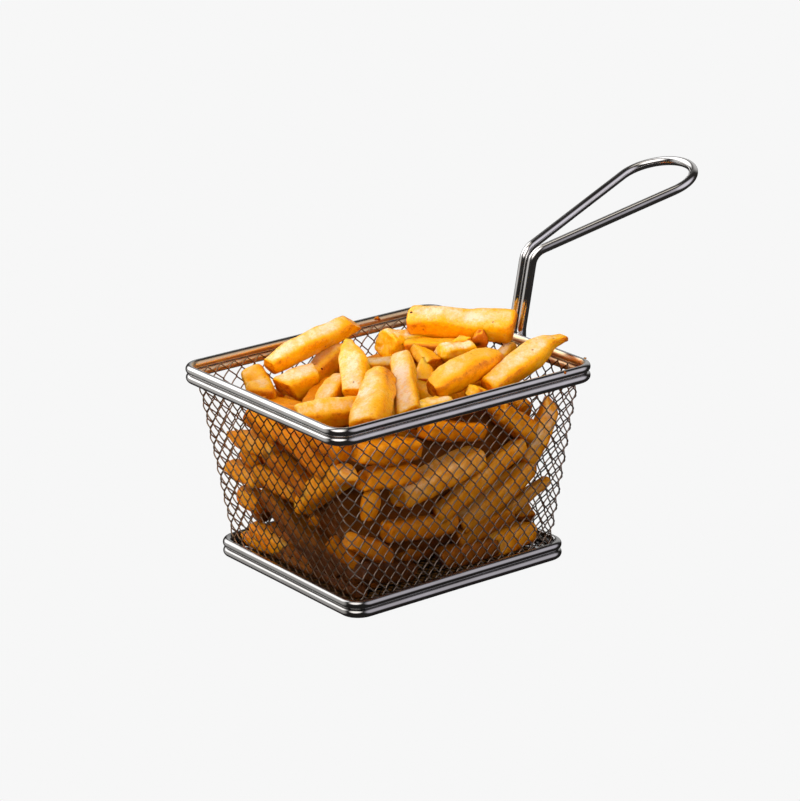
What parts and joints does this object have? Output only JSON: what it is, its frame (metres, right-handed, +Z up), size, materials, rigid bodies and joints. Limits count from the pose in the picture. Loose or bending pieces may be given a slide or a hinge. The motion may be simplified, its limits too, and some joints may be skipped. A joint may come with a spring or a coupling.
{
  "type": "french fries portion",
  "caption": "Small wire serving basket with a looped wire handle and woven mesh sides, heaped with golden thick-cut french fries.",
  "frame": {"origin": "centre of the bounding box in plan, on the surface the basket stands on", "axes": "+X along the long side of the basket, out along the handle; +Y across the basket; +Z up"},
  "size_m": [0.1867, 0.092, 0.1165],
  "materials": {
    "polished_wire": "mirror-polished stainless steel wire",
    "mesh_wire": "bright drawn stainless steel wire, slightly browned by frying fat",
    "fried_potato": null
  },
  "bodies": {
    "root": {"rim_wire_upper": "polished_wire", "rim_wire_lower": "polished_wire", "base_wire_upper": "polished_wire", "base_wire_lower": "polished_wire", "handle": "polished_wire", "mesh_walls": "mesh_wire", "mesh_floor": "mesh_wire", "fries": "fried_potato"}
  },
  "joints": []
}
